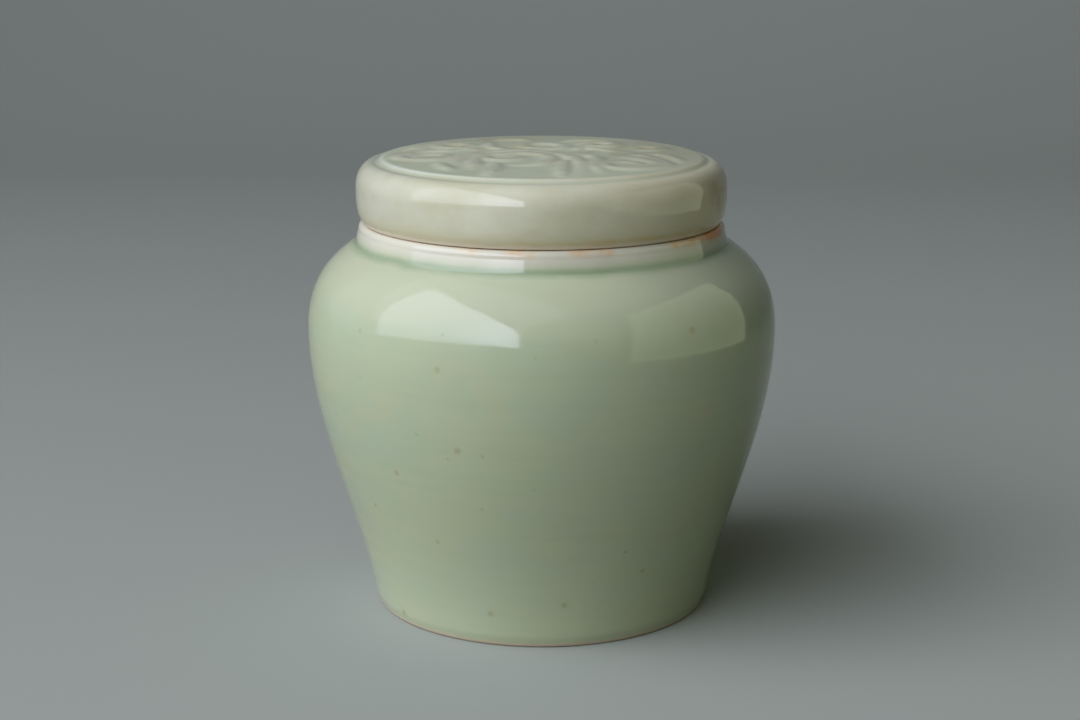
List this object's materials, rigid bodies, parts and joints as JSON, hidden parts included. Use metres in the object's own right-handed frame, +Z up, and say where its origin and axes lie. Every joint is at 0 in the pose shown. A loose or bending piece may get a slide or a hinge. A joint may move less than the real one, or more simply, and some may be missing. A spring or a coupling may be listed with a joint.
{
  "type": "tea canister",
  "caption": "Squat round-shouldered glazed porcelain tea canister with a pale stepped neck and a loose cap lid carrying moulded scrolls on its gently domed top.",
  "frame": {"origin": "centre of the circle that the foot ring stands on, on the table", "axes": "+Z up along the axis on which the jar was turned; -Y towards the viewer of the picture, +X to the viewer's right"},
  "size_m": [0.0932, 0.0932, 0.0905],
  "materials": {
    "celadon_glaze": "clear glossy green glaze, pooled at the neck, unglazed on the foot ring, ledge and rim",
    "pale_celadon_glaze": "thin greyish green glossy glaze over moulded scrolls, unglazed under the skirt"
  },
  "bodies": {
    "jar": {"jar": "celadon_glaze"},
    "lid": {"lid": "pale_celadon_glaze"}
  },
  "joints": [
    {"name": "lid_lift", "type": "slide", "parent": "jar", "child": "lid", "axis": [0, 0, 1], "range_m": [0, 0.08]}
  ]
}
